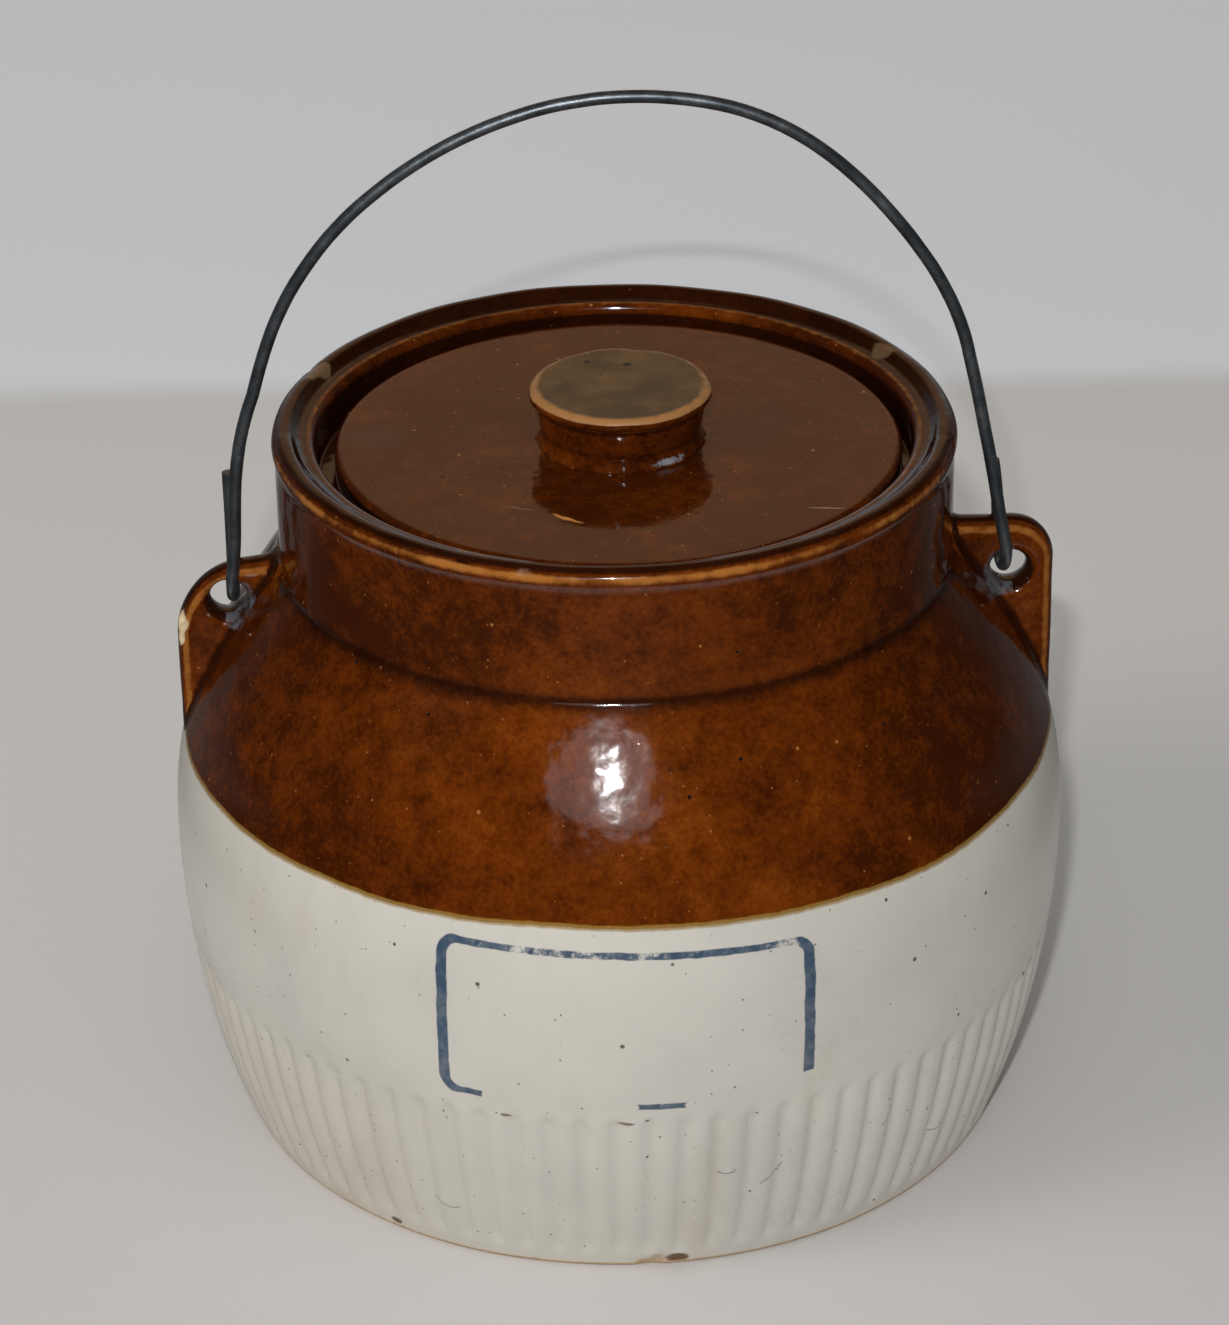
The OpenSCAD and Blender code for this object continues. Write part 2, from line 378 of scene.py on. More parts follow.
def cream_slip(f):
    """White glaze with grey and warm patches, pinholes and iron specks."""
    cloud = f.noise(34, detail=4, rough=0.55)
    fine = f.noise(1.3, detail=3)
    colour = f.blend(f.colour(CREAM), f.colour(CREAM_GREY), f.step(cloud, 0.40, 0.75))
    stain = f.step(f.noise(23, detail=5, rough=0.6, stretch=(1, 1, 0.45)), 0.52, 0.80)
    smoky = (1 - f.step(f.x, -80, -30)) * (1 - f.step(f.z, 28, 52)) * (cloud * 0.8 + 0.2)
    colour = f.blend(colour, f.colour(CREAM_STAIN), stain * 0.45 + smoky * 0.40)
    pins = f.specks(2.5, 0.36, 0.60)
    iron = f.specks(5.5, 0.70, 0.26)
    colour = f.blend(colour, f.colour((0.14, 0.100, 0.065)), pins * 0.8)
    colour = f.blend(colour, f.colour((0.075, 0.040, 0.020)), iron * 0.9)
    rough = 0.20 + cloud * 0.12
    relief = f.noise(14, detail=1) * 0.05 + fine * 0.003 - pins * 0.06 - iron * 0.10
    return colour, rough, relief


def scar(f, angle, height, length, width, slant):
    """A short mark on the wall, at an angle round the pot and a height, turned by slant degrees."""
    around = f.y.math("ARCTAN2", f.x) - radians(angle)
    across = around * wall_radius(height)
    up = f.z - height
    along = across * cos(radians(slant)) + up * sin(radians(slant))
    aside = up * cos(radians(slant)) - across * sin(radians(slant))
    ragged = f.noise(1.1, detail=2) * 0.8 + 0.6
    away = ((along * (2 / length)) ** 2 + (aside * (2 / width)) ** 2) * ragged
    return 1 - f.step(away, 0.45, 1.1)


def stamped_frame(f):
    """A worn rectangular border in blue on the front, with nothing inside it."""
    half_w, half_h, corner, mid_z = 37.8, 17.5, 3.0, 64.0
    u = (f.y.math("ARCTAN2", f.x) - radians(-92.8)) * wall_radius(mid_z)
    v = f.z - mid_z + u * 0.026
    ink_shake = (f.noise(4, detail=2) - 0.5) * 0.7
    qu = u.math("ABSOLUTE") - (half_w - corner)
    qv = v.math("ABSOLUTE") - (half_h - corner)
    outside = (qu.math("MAXIMUM", 0) ** 2 + qv.math("MAXIMUM", 0) ** 2) ** 0.5
    edge = outside + qu.math("MAXIMUM", qv).math("MINIMUM", 0) - corner + ink_shake
    sides = f.step(u.math("ABSOLUTE"), half_w - 3.5, half_w - 1.0)
    width = 0.60 + sides * 0.42
    line_mask = 1 - f.step(edge.math("ABSOLUTE"), width, width + 0.28)
    # The top line printed in streaks, and the bottom one hardly at all.
    bottom = (1 - sides) * (1 - f.step(v, -half_h + 1.5, -half_h + 5))
    top = (1 - sides) * f.step(v, half_h - 5, half_h - 2)
    printed = f.step(u, 0.5, 3) * (1 - f.step(u, 11, 13.5)) + (1 - f.step(u, -30.5, -29))
    worn_corner = f.step(u, 28, 32) * (1 - f.step(v, -half_h + 3.5, -half_h + 5.0))
    missing = 0.24 + bottom * (0.46 - printed * 0.40) + top * 0.17 + worn_corner * 0.5
    patchy = f.noise(3.4, detail=5, rough=0.75)
    patchy_long = f.noise(15, detail=1)
    ink = f.step(patchy * 0.6 + patchy_long * 0.4, missing, missing + 0.12)
    return line_mask * ink * (f.noise(2.2, detail=3, rough=0.6) * 0.5 + 0.7).math("MINIMUM", 1)


def pot_finish():
    f = Finish("pot_glaze")
    # Painted shade: the brown is darkened towards both sides, more on the right, where less light falls.
    sides = f.step(f.x, 15, 85) * 0.13 + f.step(f.x * -1, 5, 70) * 0.085
    collar = f.step(f.z, 126, 131) * 0.03
    brown, brown_rough, brown_relief = brown_slip(f, contrast=0.88, deeper=sides + collar + 0.006, wavy=1.35)
    brown, brown_rough = edge_wear_shade_and_gleam(f, brown, brown_rough, f.painted("pooled"), f.painted("worn"))
    cream, cream_rough, cream_relief = cream_slip(f)

    cream = f.blend(cream, f.colour(STAMP_BLUE), stamped_frame(f) * 0.95)
    dents = scar(f, -74, 24, 7, 1.6, 42) + scar(f, -80, 27, 4, 1.6, 5)
    nicks = scar(f, -118, 14, 6, 2.2, -12) + scar(f, -57, 30, 5, 1.8, 60) + scar(f, -46, 18, 4, 2.0, 0)
    smudges = scar(f, -108, 42.5, 2.4, 0.9, -8) * 0.8 + scar(f, -93, 42, 3.6, 0.8, -3) * 0.8
    smudges = smudges + scar(f, -86, 1.8, 5.5, 3.2, 0) + scar(f, -128, 2.2, 3, 2, 0)
    cream = f.blend(cream, f.colour((0.14, 0.075, 0.03)), smudges)
    cream_relief = cream_relief + (dents + nicks) * 0.32 - smudges * 0.25

    wander = f.noise(38, detail=2) * 2.6 - 1.3 + (f.noise(2.5, detail=2) - 0.5) * 0.5
    height = f.z + wander
    upper = f.step(height, GLAZE_Z - 0.12, GLAZE_Z + 0.12).math("MAXIMUM", f.painted("inside"))
    seam = (1 - f.step((height - GLAZE_Z).math("ABSOLUTE"), 0.28, 0.80)) * (1 - f.painted("inside"))
    colour = f.blend(cream, brown, upper)
    colour = f.blend(colour, f.colour(OCHRE), seam * 0.8)

    bare = f.painted("bare")
    pale = 1 - f.step(f.z, 30, 40)
    clay = f.blend(f.colour(CLAY_TAN), f.colour(CLAY_CREAM), f.noise(2.5, detail=4) * (pale * 0.7 + 0.3))
    colour = f.blend(colour, clay, bare)
    rough = (upper * brown_rough + (1 - upper) * cream_rough) * (1 - bare) + bare * 0.75
    relief = upper * brown_relief + (1 - upper) * cream_relief + seam * 0.05
    relief = relief + bare * f.noise(0.9, detail=4) * 0.10
    return f.surface(colour, rough, relief)


def ear_finish():
    f = Finish("ear_glaze")
    colour, rough, relief = brown_slip(f, deeper=0.03)
    colour, rough = edge_wear_shade_and_gleam(f, colour, rough, f.painted("pooled"), f.painted("worn") * 0.72)
    milk = f.step(f.painted("milky") * (f.noise(1.6, detail=4, rough=0.7) + 0.2), 0.36, 0.62)
    colour = f.blend(colour, f.colour(MILKY_BLUE), milk * 0.55)
    chip = f.painted("bare")
    clay = f.blend(f.colour(CLAY_CREAM), f.colour((0.74, 0.58, 0.33)), f.noise(1.5, detail=3))
    colour = f.blend(colour, clay, chip)
    rough = rough * (1 - chip) + chip * 0.7
    relief = relief + chip * f.noise(0.8, detail=3) * 0.12
    return f.surface(colour, rough, relief)


def scratch(f, x, y, length, width, slant):
    """A ragged scratch on the lid, in the middle of a place on its top, turned by slant degrees."""
    dx, dy = f.x - x, f.y - y
    along = dx * cos(radians(slant)) + dy * sin(radians(slant))
    aside = dy * cos(radians(slant)) - dx * sin(radians(slant)) + (f.noise(3, detail=2) - 0.5) * 1.6
    away = (along * (2 / length)) ** 2 + (aside * (2 / width)) ** 2
    return 1 - f.step(away, 0.4, 1.1)


def lid_finish():
    f = Finish("lid_glaze")
    colour, rough, relief = brown_slip(f, contrast=0.7, deeper=0.11, wavy=0.3)
    colour, rough = edge_wear_shade_and_gleam(f, colour, rough, f.painted("pooled"), f.painted("worn"))
    dull = 1 - f.step((f.x + 49.5) ** 2 + (f.y - 4.5) ** 2, 18, 60)
    colour = f.blend(colour, f.colour((0.045, 0.022, 0.010)), dull * 0.6)
    bright = scratch(f, -11.8, -36.7, 8.5, 1.1, -37)
    pale = scratch(f, 40.5, -36.5, 9.0, 0.6, -10) * 0.7 + scratch(f, -21, -31, 7, 0.5, -25) * 0.25
    colour = f.blend(colour, f.colour((0.55, 0.22, 0.05)), bright)
    colour = f.blend(colour, f.colour((0.40, 0.26, 0.15)), pale)
    near_knob = 1 - f.step(f.x**2 + f.y**2, 480, 900)
    wrinkles = f.noise(2.3, detail=2) * (0.020 + near_knob * 0.060) + f.noise(7, detail=2) * 0.035
    relief = relief + wrinkles - (bright + pale) * 0.06
    return f.surface(colour, rough, relief)


def knob_finish():
    f = Finish("bare_clay")
    brown, brown_rough, brown_relief = brown_slip(f, deeper=0.06)
    brown, brown_rough = edge_wear_shade_and_gleam(f, brown, brown_rough, f.painted("pooled"), f.painted("worn"))
    ragged = f.noise(2.4, detail=4, rough=0.6) - 0.5
    bare = f.step(f.painted("bare") + ragged * 0.35, 0.42, 0.58)
    rim = f.step(f.painted("head_rim") + ragged * 0.9, 0.25, 1.0)
    tone = f.noise(12, detail=5, rough=0.6)
    clay = f.blend(f.colour((0.096, 0.056, 0.022)), f.colour((0.165, 0.088, 0.031)), f.step(tone, 0.36, 0.66))
    clay = f.blend(clay, f.colour((0.40, 0.185, 0.058)), rim)
    spots = f.specks(9, 0.5, 0.5)
    for x, y, size in ((3.4, 9.9, 1.1), (-4.8, 12.2, 0.8), (-2.4, 5.5, 0.45)):
        away = ((f.x - x) ** 2 + (f.y - y) ** 2) * (f.noise(1, detail=2) + 0.5)
        spots = spots + (1 - f.step(away, 0.4 * size**2, size**2))
    clay = f.blend(clay, f.colour((0.022, 0.017, 0.014)), spots.math("MINIMUM", 1) * 0.85)
    colour = f.blend(brown, clay, bare)
    milk = f.step(f.painted("milky") * (f.noise(1.1, detail=4, rough=0.75) + 0.1), 0.38, 0.58)
    colour = f.blend(colour, f.colour((0.40, 0.43, 0.46)), milk * 0.6)
    rough = brown_rough * (1 - bare) + bare * (0.62 - rim * 0.22)
    relief = brown_relief * (1 - bare) + bare * f.noise(0.9, detail=4) * 0.06 + milk * 0.08
    return f.surface(colour, rough, relief)


def wire_finish():
    f = Finish("bail_steel")
    dull = f.noise(5, detail=4, rough=0.65)
    fine = f.noise(0.5, detail=2)
    colour = f.node(
        "ShaderNodeValToRGB",
        {"stops": [(0.30, (0.070, 0.080, 0.088)), (0.52, (0.16, 0.18, 0.195)), (0.74, (0.32, 0.34, 0.355))]},
        {"Fac": dull * 0.75 + fine * 0.25},
    )
    rust = f.specks(9, 0.8, 0.16)
    colour = f.blend(colour, f.colour((0.10, 0.060, 0.035)), rust * 0.6)
    drawn = f.noise(1.0, detail=2)
    return f.surface(colour, 0.30 + dull * 0.20, drawn * 0.03 + dull * 0.05, metal=0.85 - rust * 0.6, ior=2.0)


# ---- Trees of nodes, and the one that presses the reeds into the lower wall ----


def open_tree(name, inputs):
    """Starts a tree that takes a mesh and named inputs. Gives the inputs' identifiers by name as well."""
    tree = bpy.data.node_groups.new(name, "GeometryNodeTree")
    tree.interface.new_socket("Geometry", in_out="INPUT", socket_type="NodeSocketGeometry")
    ports = {}
    for key, kind in inputs.items():
        port = tree.interface.new_socket(key, in_out="INPUT", socket_type="NodeSocket" + kind)
        ports[key] = port.identifier
    tree.interface.new_socket("Geometry", in_out="OUTPUT", socket_type="NodeSocketGeometry")
    kit = Kit(tree)
    return kit, kit.node("NodeGroupInput"), ports


def close_tree(kit, made, given):
    """Ends a tree with real faces in the given material."""
    real = kit.node("GeometryNodeRealizeInstances", sockets={"Geometry": made})
    finish = {"Geometry": real, "Material": given.other("Material")}
    kit.node("NodeGroupOutput", sockets={0: kit.node("GeometryNodeSetMaterial", sockets=finish)})


def run_tree(piece, tree, ports, values):
    """Puts a tree on a piece, sets its inputs and keeps the mesh that it makes."""
    modifier = piece.modifiers.new(tree.name, "NODES")
    modifier.node_group = tree
    for name, value in values.items():
        modifier[ports[name]] = value
    graph = bpy.context.evaluated_depsgraph_get()
    mesh = bpy.data.meshes.new_from_object(piece.evaluated_get(graph))
    piece.modifiers.clear()
    piece.data = mesh
    mesh.shade_smooth()


def reed_tree():
    """Presses a groove between every two reeds, fading out at both ends."""
    lengths = ("Count", "Depth", "Bottom", "Top", "Run-out")
    kit, given, ports = open_tree("reeds", dict.fromkeys(lengths, "Float") | {"Material": "Material"})
    place = kit.node("GeometryNodeInputPosition")
    x, y, z = kit.split(place)
    turn = y.math("ARCTAN2", x)
    groove = ((turn * given.other("Count")).math("COSINE") * 0.5 + 0.5) ** 2.1
    low = kit.step(z, given.other("Bottom"), given.other("Bottom") + given.other("Run-out"))
    high = 1 - kit.step(z, given.other("Top") - given.other("Run-out"), given.other("Top"))
    outside = kit.node("GeometryNodeInputNamedAttribute", {"data_type": "FLOAT"}, {"Name": "outer"})
    push = groove * low * high * given.other("Depth") * outside * -1
    flat = kit.node("ShaderNodeCombineXYZ", sockets={0: x, 1: y})
    away = kit.node("ShaderNodeVectorMath", {"operation": "NORMALIZE"}, {0: flat})
    offset = kit.node("ShaderNodeVectorMath", {"operation": "SCALE"}, {0: away, 3: push})
    close_tree(kit, kit.node("GeometryNodeSetPosition", sockets={"Geometry": given, "Offset": offset}), given)
    return kit.tree, ports


# ---- Pot ----


def pot_outline():
    foot_r = wall_radius(FOOT_EDGE_R)
    hollow_r = foot_r - FOOT_W
    ledge_r = MOUTH_R - LEDGE_W
    throat_z = LEDGE_Z - LEDGE_T - LEDGE_W
    corner_x = wall_radius(FLOOR_Z + CORNER_R, WALL) - CORNER_R
    slope_top = arc(LIP_C, LIP_R, 118, 118, 1)[0]
    parts = {
        "under": [(0, FOOT_HOLLOW), (hollow_r * 0.5, FOOT_HOLLOW), (hollow_r, FOOT_HOLLOW)]
        + [(hollow_r + FOOT_HOLLOW, 0), (foot_r - FOOT_W * 0.4, 0)]
        + arc((foot_r - FOOT_EDGE_R, FOOT_EDGE_R), FOOT_EDGE_R, -90, -15, 4),
        "reeded": [(wall_radius(z), z) for z in np.arange(1.2, REED_TOP + 1.6, 1.4)],
        "plain": [(wall_radius(z), z) for z in np.linspace(REED_TOP + 3.4, shoulder_end_z, 25)],
        "junction": arc(fillet_c, NECK_FILLET, 180 + np.degrees(shoulder_end), 180, 7)[1:],
        "neck": line((NECK_R, fillet_c[1] + 3), (NECK_R, LIP_C[1] - 3.2), 7),
        "lip": arc(LIP_C, LIP_R, -32, 118, 14),
        "slope": line(slope_top, (RIDGE_C[0] + 0.4, RIDGE_C[1] + RIDGE_R), 8, sag=0.45)[1:],
        "ridge": arc(RIDGE_C, RIDGE_R, 90, 180, 6),
        "inner": line((MOUTH_R, RIDGE_C[1] - 1), (MOUTH_R, LEDGE_Z + 0.8), 4),
        "ledge": arc((MOUTH_R - 0.7, LEDGE_Z + 0.7), 0.7, 0, -90, 3)
        + [(ledge_r + 0.6, LEDGE_Z)]
        + arc((ledge_r + 0.6, LEDGE_Z - 0.6), 0.6, 110, 180, 3)
        + [(ledge_r, LEDGE_Z - LEDGE_T), (MOUTH_R - 0.5, throat_z)],
        "cavity": [(wall_radius(z, WALL), z) for z in np.linspace(shoulder_end_z - 2, FLOOR_Z + CORNER_R, 15)]
        + arc((corner_x, FLOOR_Z + CORNER_R), CORNER_R, -12, -90, 6)
        + [(corner_x * 0.6, FLOOR_Z), (corner_x * 0.25, FLOOR_Z), (0, FLOOR_Z)],
    }
    outline = [point for part in parts.values() for point in part]
    labels = [name for name, part in parts.items() for _ in part]
    return outline, labels


# Chips knocked out of edges: angle round the pot, radius, height, size, depth and how bare they are.
CHIPS = [
    (-89.5, 83.4, 1.2, 2.1, 0.8, 0.8),
    (154.0, 67.8, 154.3, 3.2, 0.3, 0.30),
    (27.0, 66.4, 153.8, 2.6, 0.3, 0.25),
    (-118.6, 70.4, 153.4, 1.1, 0.5, 0.0),
    (-108.0, 70.4, 153.6, 1.0, 0.3, 0.2),
    (-121.5, 62.9, 152.4, 1.2, 0.3, 0.4),
    (-117.5, 62.9, 152.4, 1.0, 0.3, 0.4),
]


def chip_shares(radius, height, angle):
    """How far each point lies within each chip, from 0 outside it to 1 in its middle."""
    shares = []
    for turn, r, z, size, _, _ in CHIPS:
        around = (np.mod(angle - radians(turn) + pi, 2 * pi) - pi) * radius
        ragged = 1 + 0.20 * np.sin(around * 0.9 + height * 1.1)
        away = np.sqrt((around * 0.6) ** 2 + (radius - r) ** 2 + (height - z) ** 2) * ragged
        shares.append(1 - fade(away, size * 0.45, size))
    return shares


def shape_pot(radius, height, angle):
    """Unevenness left by the mould and the fire, always inwards, and none where the ears are joined on."""
    ears = np.maximum(np.exp(-((np.sin(angle / 2) / 0.16) ** 2)), np.exp(-((np.cos(angle / 2) / 0.16) ** 2)))
    outer = (radius > wall_radius(FLOOR_Z, WALL)) & (height < shoulder_end_z)
    swell = 0.5 + 0.22 * np.sin(3 * angle + 1.2) + 0.16 * np.sin(7 * angle + height / 17 + 0.4)
    swell = swell + 0.12 * np.sin(13 * angle - height / 11)
    inwards = 0.32 * swell * (1 - ears) * outer
    seam_line = 0.28 * np.exp(-(((height - REED_TOP - 0.9) / 0.8) ** 2)) * outer
    lip = (height > LIP_C[1] - 4) & (radius > MOUTH_R + 3)
    roll = 0.16 * (1 + np.sin(5 * angle + 0.7) * 0.5 + np.sin(17 * angle) * 0.3) * lip
    radius = radius - inwards - seam_line - roll * 0.6
    height = height - roll
    for share, (_, _, _, _, depth, _) in zip(chip_shares(radius, height, angle), CHIPS):
        radius = radius - share * depth * 0.7
        height = np.where(height > 100, height - share * depth * 0.7, height)
    return radius, height


def make_pot(material):
    outline, labels = pot_outline()
    turns = REEDS * 8
    points, faces = turned(outline, turns, shape_pot)
    r = np.hypot(points[:, 0], points[:, 1])
    z = points[:, 2]
    angle = np.arctan2(points[:, 1], points[:, 0])
    part = np.append(np.repeat(labels[1:-1], turns), [labels[0], labels[-1]])
    round_lip = np.degrees(np.arctan2(z - LIP_C[1], r - LIP_C[0]))
    on_lip = np.hypot(r - LIP_C[0], z - LIP_C[1]) < LIP_R + 0.4
    front = np.exp(-(((angle + 1.75) / 0.9) ** 2))
    patches = 0.10 * np.sin(9 * angle + 1) + 0.08 * np.sin(23 * angle)
    lip_line = on_lip * fade(round_lip, -30, 18) * (1 - fade(round_lip, 26, 48))
    # The lip's orange is stronger at the front, where it also stands for a painted highlight of the lamp
    # along the lip.
    lip_wear_and_gleam = lip_line * (0.44 + 0.24 * front + patches)
    ridge_worn = (part == "ridge") * fade(z, RIDGE_C[1] + 0.9, RIDGE_C[1] + 1.4) * (0.42 - 0.3 * front)
    # Darker along the crease at the foot of the neck.
    junction = np.exp(-(((z - fillet_c[1] + 1.2) / 1.7) ** 2)) * (np.abs(r - NECK_R) < 6)
    chips = list(zip(chip_shares(r, z, angle), CHIPS))
    chip = np.max([fade(share, 0.2, 0.7) * spec[5] for share, spec in chips], 0)
    pit = np.max([fade(share, 0.3, 0.6) * (spec[5] == 0) for share, spec in chips], 0)
    # Painted shade: the inner wall and ledge of the sunk rim are painted dark, and its top slope is painted
    # dark as well.
    in_rim = np.isin(part, ["slope", "inner", "ledge"]) * 1.0
    paint = {
        "worn": np.maximum(lip_wear_and_gleam, ridge_worn),
        "pooled": np.maximum.reduce([junction * 0.8, on_lip * fade(round_lip, 36, 58), in_rim, pit]),
        "inside": np.isin(part, ["inner", "ledge", "cavity"]) * 1.0,
        "bare": np.maximum((part == "under") * 1.0, chip),
        "outer": np.isin(part, ["reeded", "plain"]) * 1.0,
    }
    pot = finish_mesh("crock_pot", points, faces, material, "crock", "crock_body", paint)
    tree, ports = reed_tree()
    sizes = {"Count": float(REEDS), "Depth": REED_DEPTH * MM, "Bottom": REED_LOW * MM, "Top": REED_TOP * MM}
    run_tree(pot, tree, ports, sizes | {"Run-out": 1.8 * MM, "Material": material})
    return pot


# ---- Ears: shapes given by distance, joined smoothly to the pot ----

HOLE_Z = 117.4
HOLE_R = 5.0
WAIST_R = 3.8
EAR_CELL = 0.55


def pot_distance(r, z):
    """Distance from the pot's outside, above the widest part."""
    belly = np.hypot(r - turn_c[0], z - turn_c[1]) - TURN_R
    shoulder = np.hypot(r - shoulder_c[0], z - shoulder_c[1]) - SHOULDER_R
    body = np.where(z < turn_end_z, belly, shoulder)
    return soft_min(body, r - NECK_R, 3.2)


def soft_min(a, b, width):
    """The smaller of two distances, rounded where they cross."""
    h = np.clip(0.5 + 0.5 * (b - a) / width, 0, 1)
    return b + (a - b) * h - width * h * (1 - h)


class Ear:
    """A round-edged plate with a pierced hole, worked out standing towards +x and put on its side.

    droop is how much its top falls outwards, and chip is a place, size and stretch, or None.
    """

    def __init__(self, low, high, side, corner, hole_x, droop, chip):
        self.side = side
        self.half = (high.y - low.y) / 2
        self.reach = max(abs(low.x), abs(high.x)) - self.half
        self.top = high.z - self.half
        self.bend = corner - self.half
        self.hole = (hole_x, HOLE_Z)
        self.droop = droop
        self.chip = chip

    def outline_distance(self, x, z):
        """Distance from the flat part of the plate, seen from the front."""
        top = self.top - self.droop * np.clip(x - NECK_R, 0, None)
        qx = x - (self.reach - self.bend)
        qz = z - (top - self.bend)
        outside = np.hypot(np.maximum(qx, 0), np.maximum(qz, 0))
        return outside + np.minimum(np.maximum(qx, qz), 0) - self.bend

    def plate_distance(self, x, y, z):
        flat = self.outline_distance(x, z)
        puff = 0.25 * np.sin(x / 3.1 + 1) * np.sin(z / 4.3) - 0.2
        return np.hypot(np.maximum(flat, 0), np.maximum(np.abs(y), 0)) - self.half - puff * 0.5 + 0.1

    def hole_distance(self, x, y, z):
        """Distance from the hole, which is a little narrower in the middle of the plate."""
        flare = (HOLE_R - WAIST_R) * np.clip(np.abs(y) / self.half, 0, 1) ** 2
        return np.hypot(x - self.hole[0], z - self.hole[1]) - WAIST_R - flare

    def chip_distance(self, x, y, z):
        if not self.chip:
            return np.full_like(x, 99.0)
        cx, cy, cz, size, tall = self.chip
        ragged = 0.35 * np.sin(z * 1.3) + 0.25 * np.sin(y * 2.1 + z * 0.7)
        return np.sqrt((x - cx) ** 2 + (y - cy) ** 2 + ((z - cz) / tall) ** 2) - size - ragged

    def distance(self, p):
        x, y, z = p[..., 0] * self.side, p[..., 1], p[..., 2]
        body = self.plate_distance(x, y, z)
        body = -soft_min(-body, self.hole_distance(x, y, z), 2.0)
        body = -soft_min(-body, self.chip_distance(x, y, z), 0.4)
        pot = pot_distance(np.hypot(x, y), z) + 0.05
        joined = soft_min(body, pot, 0.05 + 2.35 * fade(z, 83, 92))
        return np.maximum(joined, -(pot + 1.3))


def skin(distance, low, high, step):
    """Wraps a closed mesh round the zero of a distance, one point to each cell that the surface crosses."""
    axes = [np.arange(a, b + step, step) for a, b in zip(low, high)]
    grid = np.stack(np.meshgrid(*axes, indexing="ij"), -1)
    field = distance(grid)
    # Everything at the border is outside, so the mesh closes there.
    for axis in range(3):
        border = [slice(None)] * 3
        for edge in (0, -1):
            border[axis] = edge
            field[tuple(border)] = np.maximum(field[tuple(border)], step * 0.5)
    cells = np.array(field.shape) - 1
    total = np.zeros((*cells, 3))
    hits = np.zeros(cells)
    crossings = []
    for axis in range(3):
        near = np.take(field, range(0, cells[axis]), axis)
        far = np.take(field, range(1, cells[axis] + 1), axis)
        crossed = (near < 0) != (far < 0)
        share = np.where(crossed, near / np.where(crossed, near - far, 1), 0)
        crossings.append((crossed, near < 0))
        others = [a for a in range(3) if a != axis]
        for u in (0, 1):
            for v in (0, 1):
                window = [slice(None)] * 3
                window[others[0]] = slice(u, u + cells[others[0]])
                window[others[1]] = slice(v, v + cells[others[1]])
                window = tuple(window)
                hits += crossed[window]
                total[..., axis] += share[window]
                total[..., others[0]] += crossed[window] * u
                total[..., others[1]] += crossed[window] * v
    used = hits > 0
    number = np.full(cells, -1)
    number[used] = np.arange(used.sum())
    points = (np.argwhere(used) + total[used] / hits[used][:, None]) * step + np.array(low)
    faces = []
    for axis, (crossed, inside) in enumerate(crossings):
        o1, o2 = [a for a in range(3) if a != axis]
        for cell in np.argwhere(crossed):
            if not (0 < cell[o1] < cells[o1] and 0 < cell[o2] < cells[o2]):
                continue
            loop = []
            for d1, d2 in ((-1, -1), (0, -1), (0, 0), (-1, 0)):
                corner = cell.copy()
                corner[o1] += d1
                corner[o2] += d2
                loop.append(int(number[tuple(corner)]))
            outwards = bool(inside[tuple(cell)]) != (axis == 1)
            faces.append(tuple(loop if outwards else reversed(loop)))
    return points, faces


def settle(points, distance, rounds=3):
    """Moves points onto the zero of a distance."""
    nudge = 0.02
    for _ in range(rounds):
        here = distance(points)
        steps = nudge * np.eye(3)
        slope = np.stack([distance(points + step) - distance(points - step) for step in steps], 1)
        slope = slope / (2 * nudge)
        size = np.maximum((slope**2).sum(1), 0.25)
        points = points - slope * np.clip(here / size, -0.3, 0.3)[:, None]
    return points


def make_ear(name, node, ear, material):
    reach = ear.reach + ear.half + 0.6
    low = (62.0 if ear.side > 0 else -reach, -9.0, 80.0)
    high = (reach if ear.side > 0 else -62.0, 9.0, ear.top + ear.half + 0.8)
    points, faces = skin(ear.distance, low, high, EAR_CELL)
    points = settle(points, ear.distance)
    x, y, z = points[:, 0] * ear.side, points[:, 1], points[:, 2]
    flat = ear.outline_distance(x, z)
    round_edge = np.degrees(np.arctan2(np.maximum(flat, 0), np.abs(y)))
    on_plate = ear.plate_distance(x, y, z) < 0.4
    hole = ear.hole_distance(x, y, z)
    near_hole = np.exp(-((hole / 0.9) ** 2)) * (np.abs(y) > 2.2) * on_plate
    chip = 1 - fade(ear.chip_distance(x, y, z), 0.02, 0.2)
    band = fade(round_edge, 16, 32) * (1 - fade(round_edge, 44, 60)) * on_plate
    # Painted shade in the crease where the plate meets the pot and inside the hole; the plate's outer edge
    # faces are painted dark as well.
    root = np.exp(-((pot_distance(np.hypot(x, y), z) / 1.6) ** 2)) * (np.abs(y) < ear.half + 2.5)
    in_hole = (hole < 0.6) * fade(4.2 - np.abs(y), 0, 1)
    pooled = np.maximum.reduce([fade(round_edge, 56, 72) * on_plate, root * (1 - band), in_hole])
    paint = {
        "worn": np.maximum(band * 0.8, near_hole * 0.3),
        "pooled": pooled * (1 - chip),
        "milky": np.exp(-((hole / 1.6) ** 2)) * (x < ear.hole[0] + 1) * (np.abs(y) > 1.5) * 0.8,
        "bare": chip,
    }
    return finish_mesh(name, points, faces, material, "crock", node, paint)


# ---- Lid and knob ----


def shape_lid(radius, height, angle):
    """A plate pressed by hand is never quite flat."""
    top = height > lid_high.z - 1.0
    dish = 0.10 * (1 - (radius / lid_high.y) ** 2) + 0.05 * np.sin(2 * angle + 0.5) * radius / lid_high.y
    ripple = 0.03 * np.sin(9 * angle + radius / 6) + 0.03 * np.sin(radius / 4.5 - 3 * angle)
    return radius - 0.08 * (1 + np.sin(6 * angle)), height - (0.06 + np.abs(dish) + np.abs(ripple)) * top


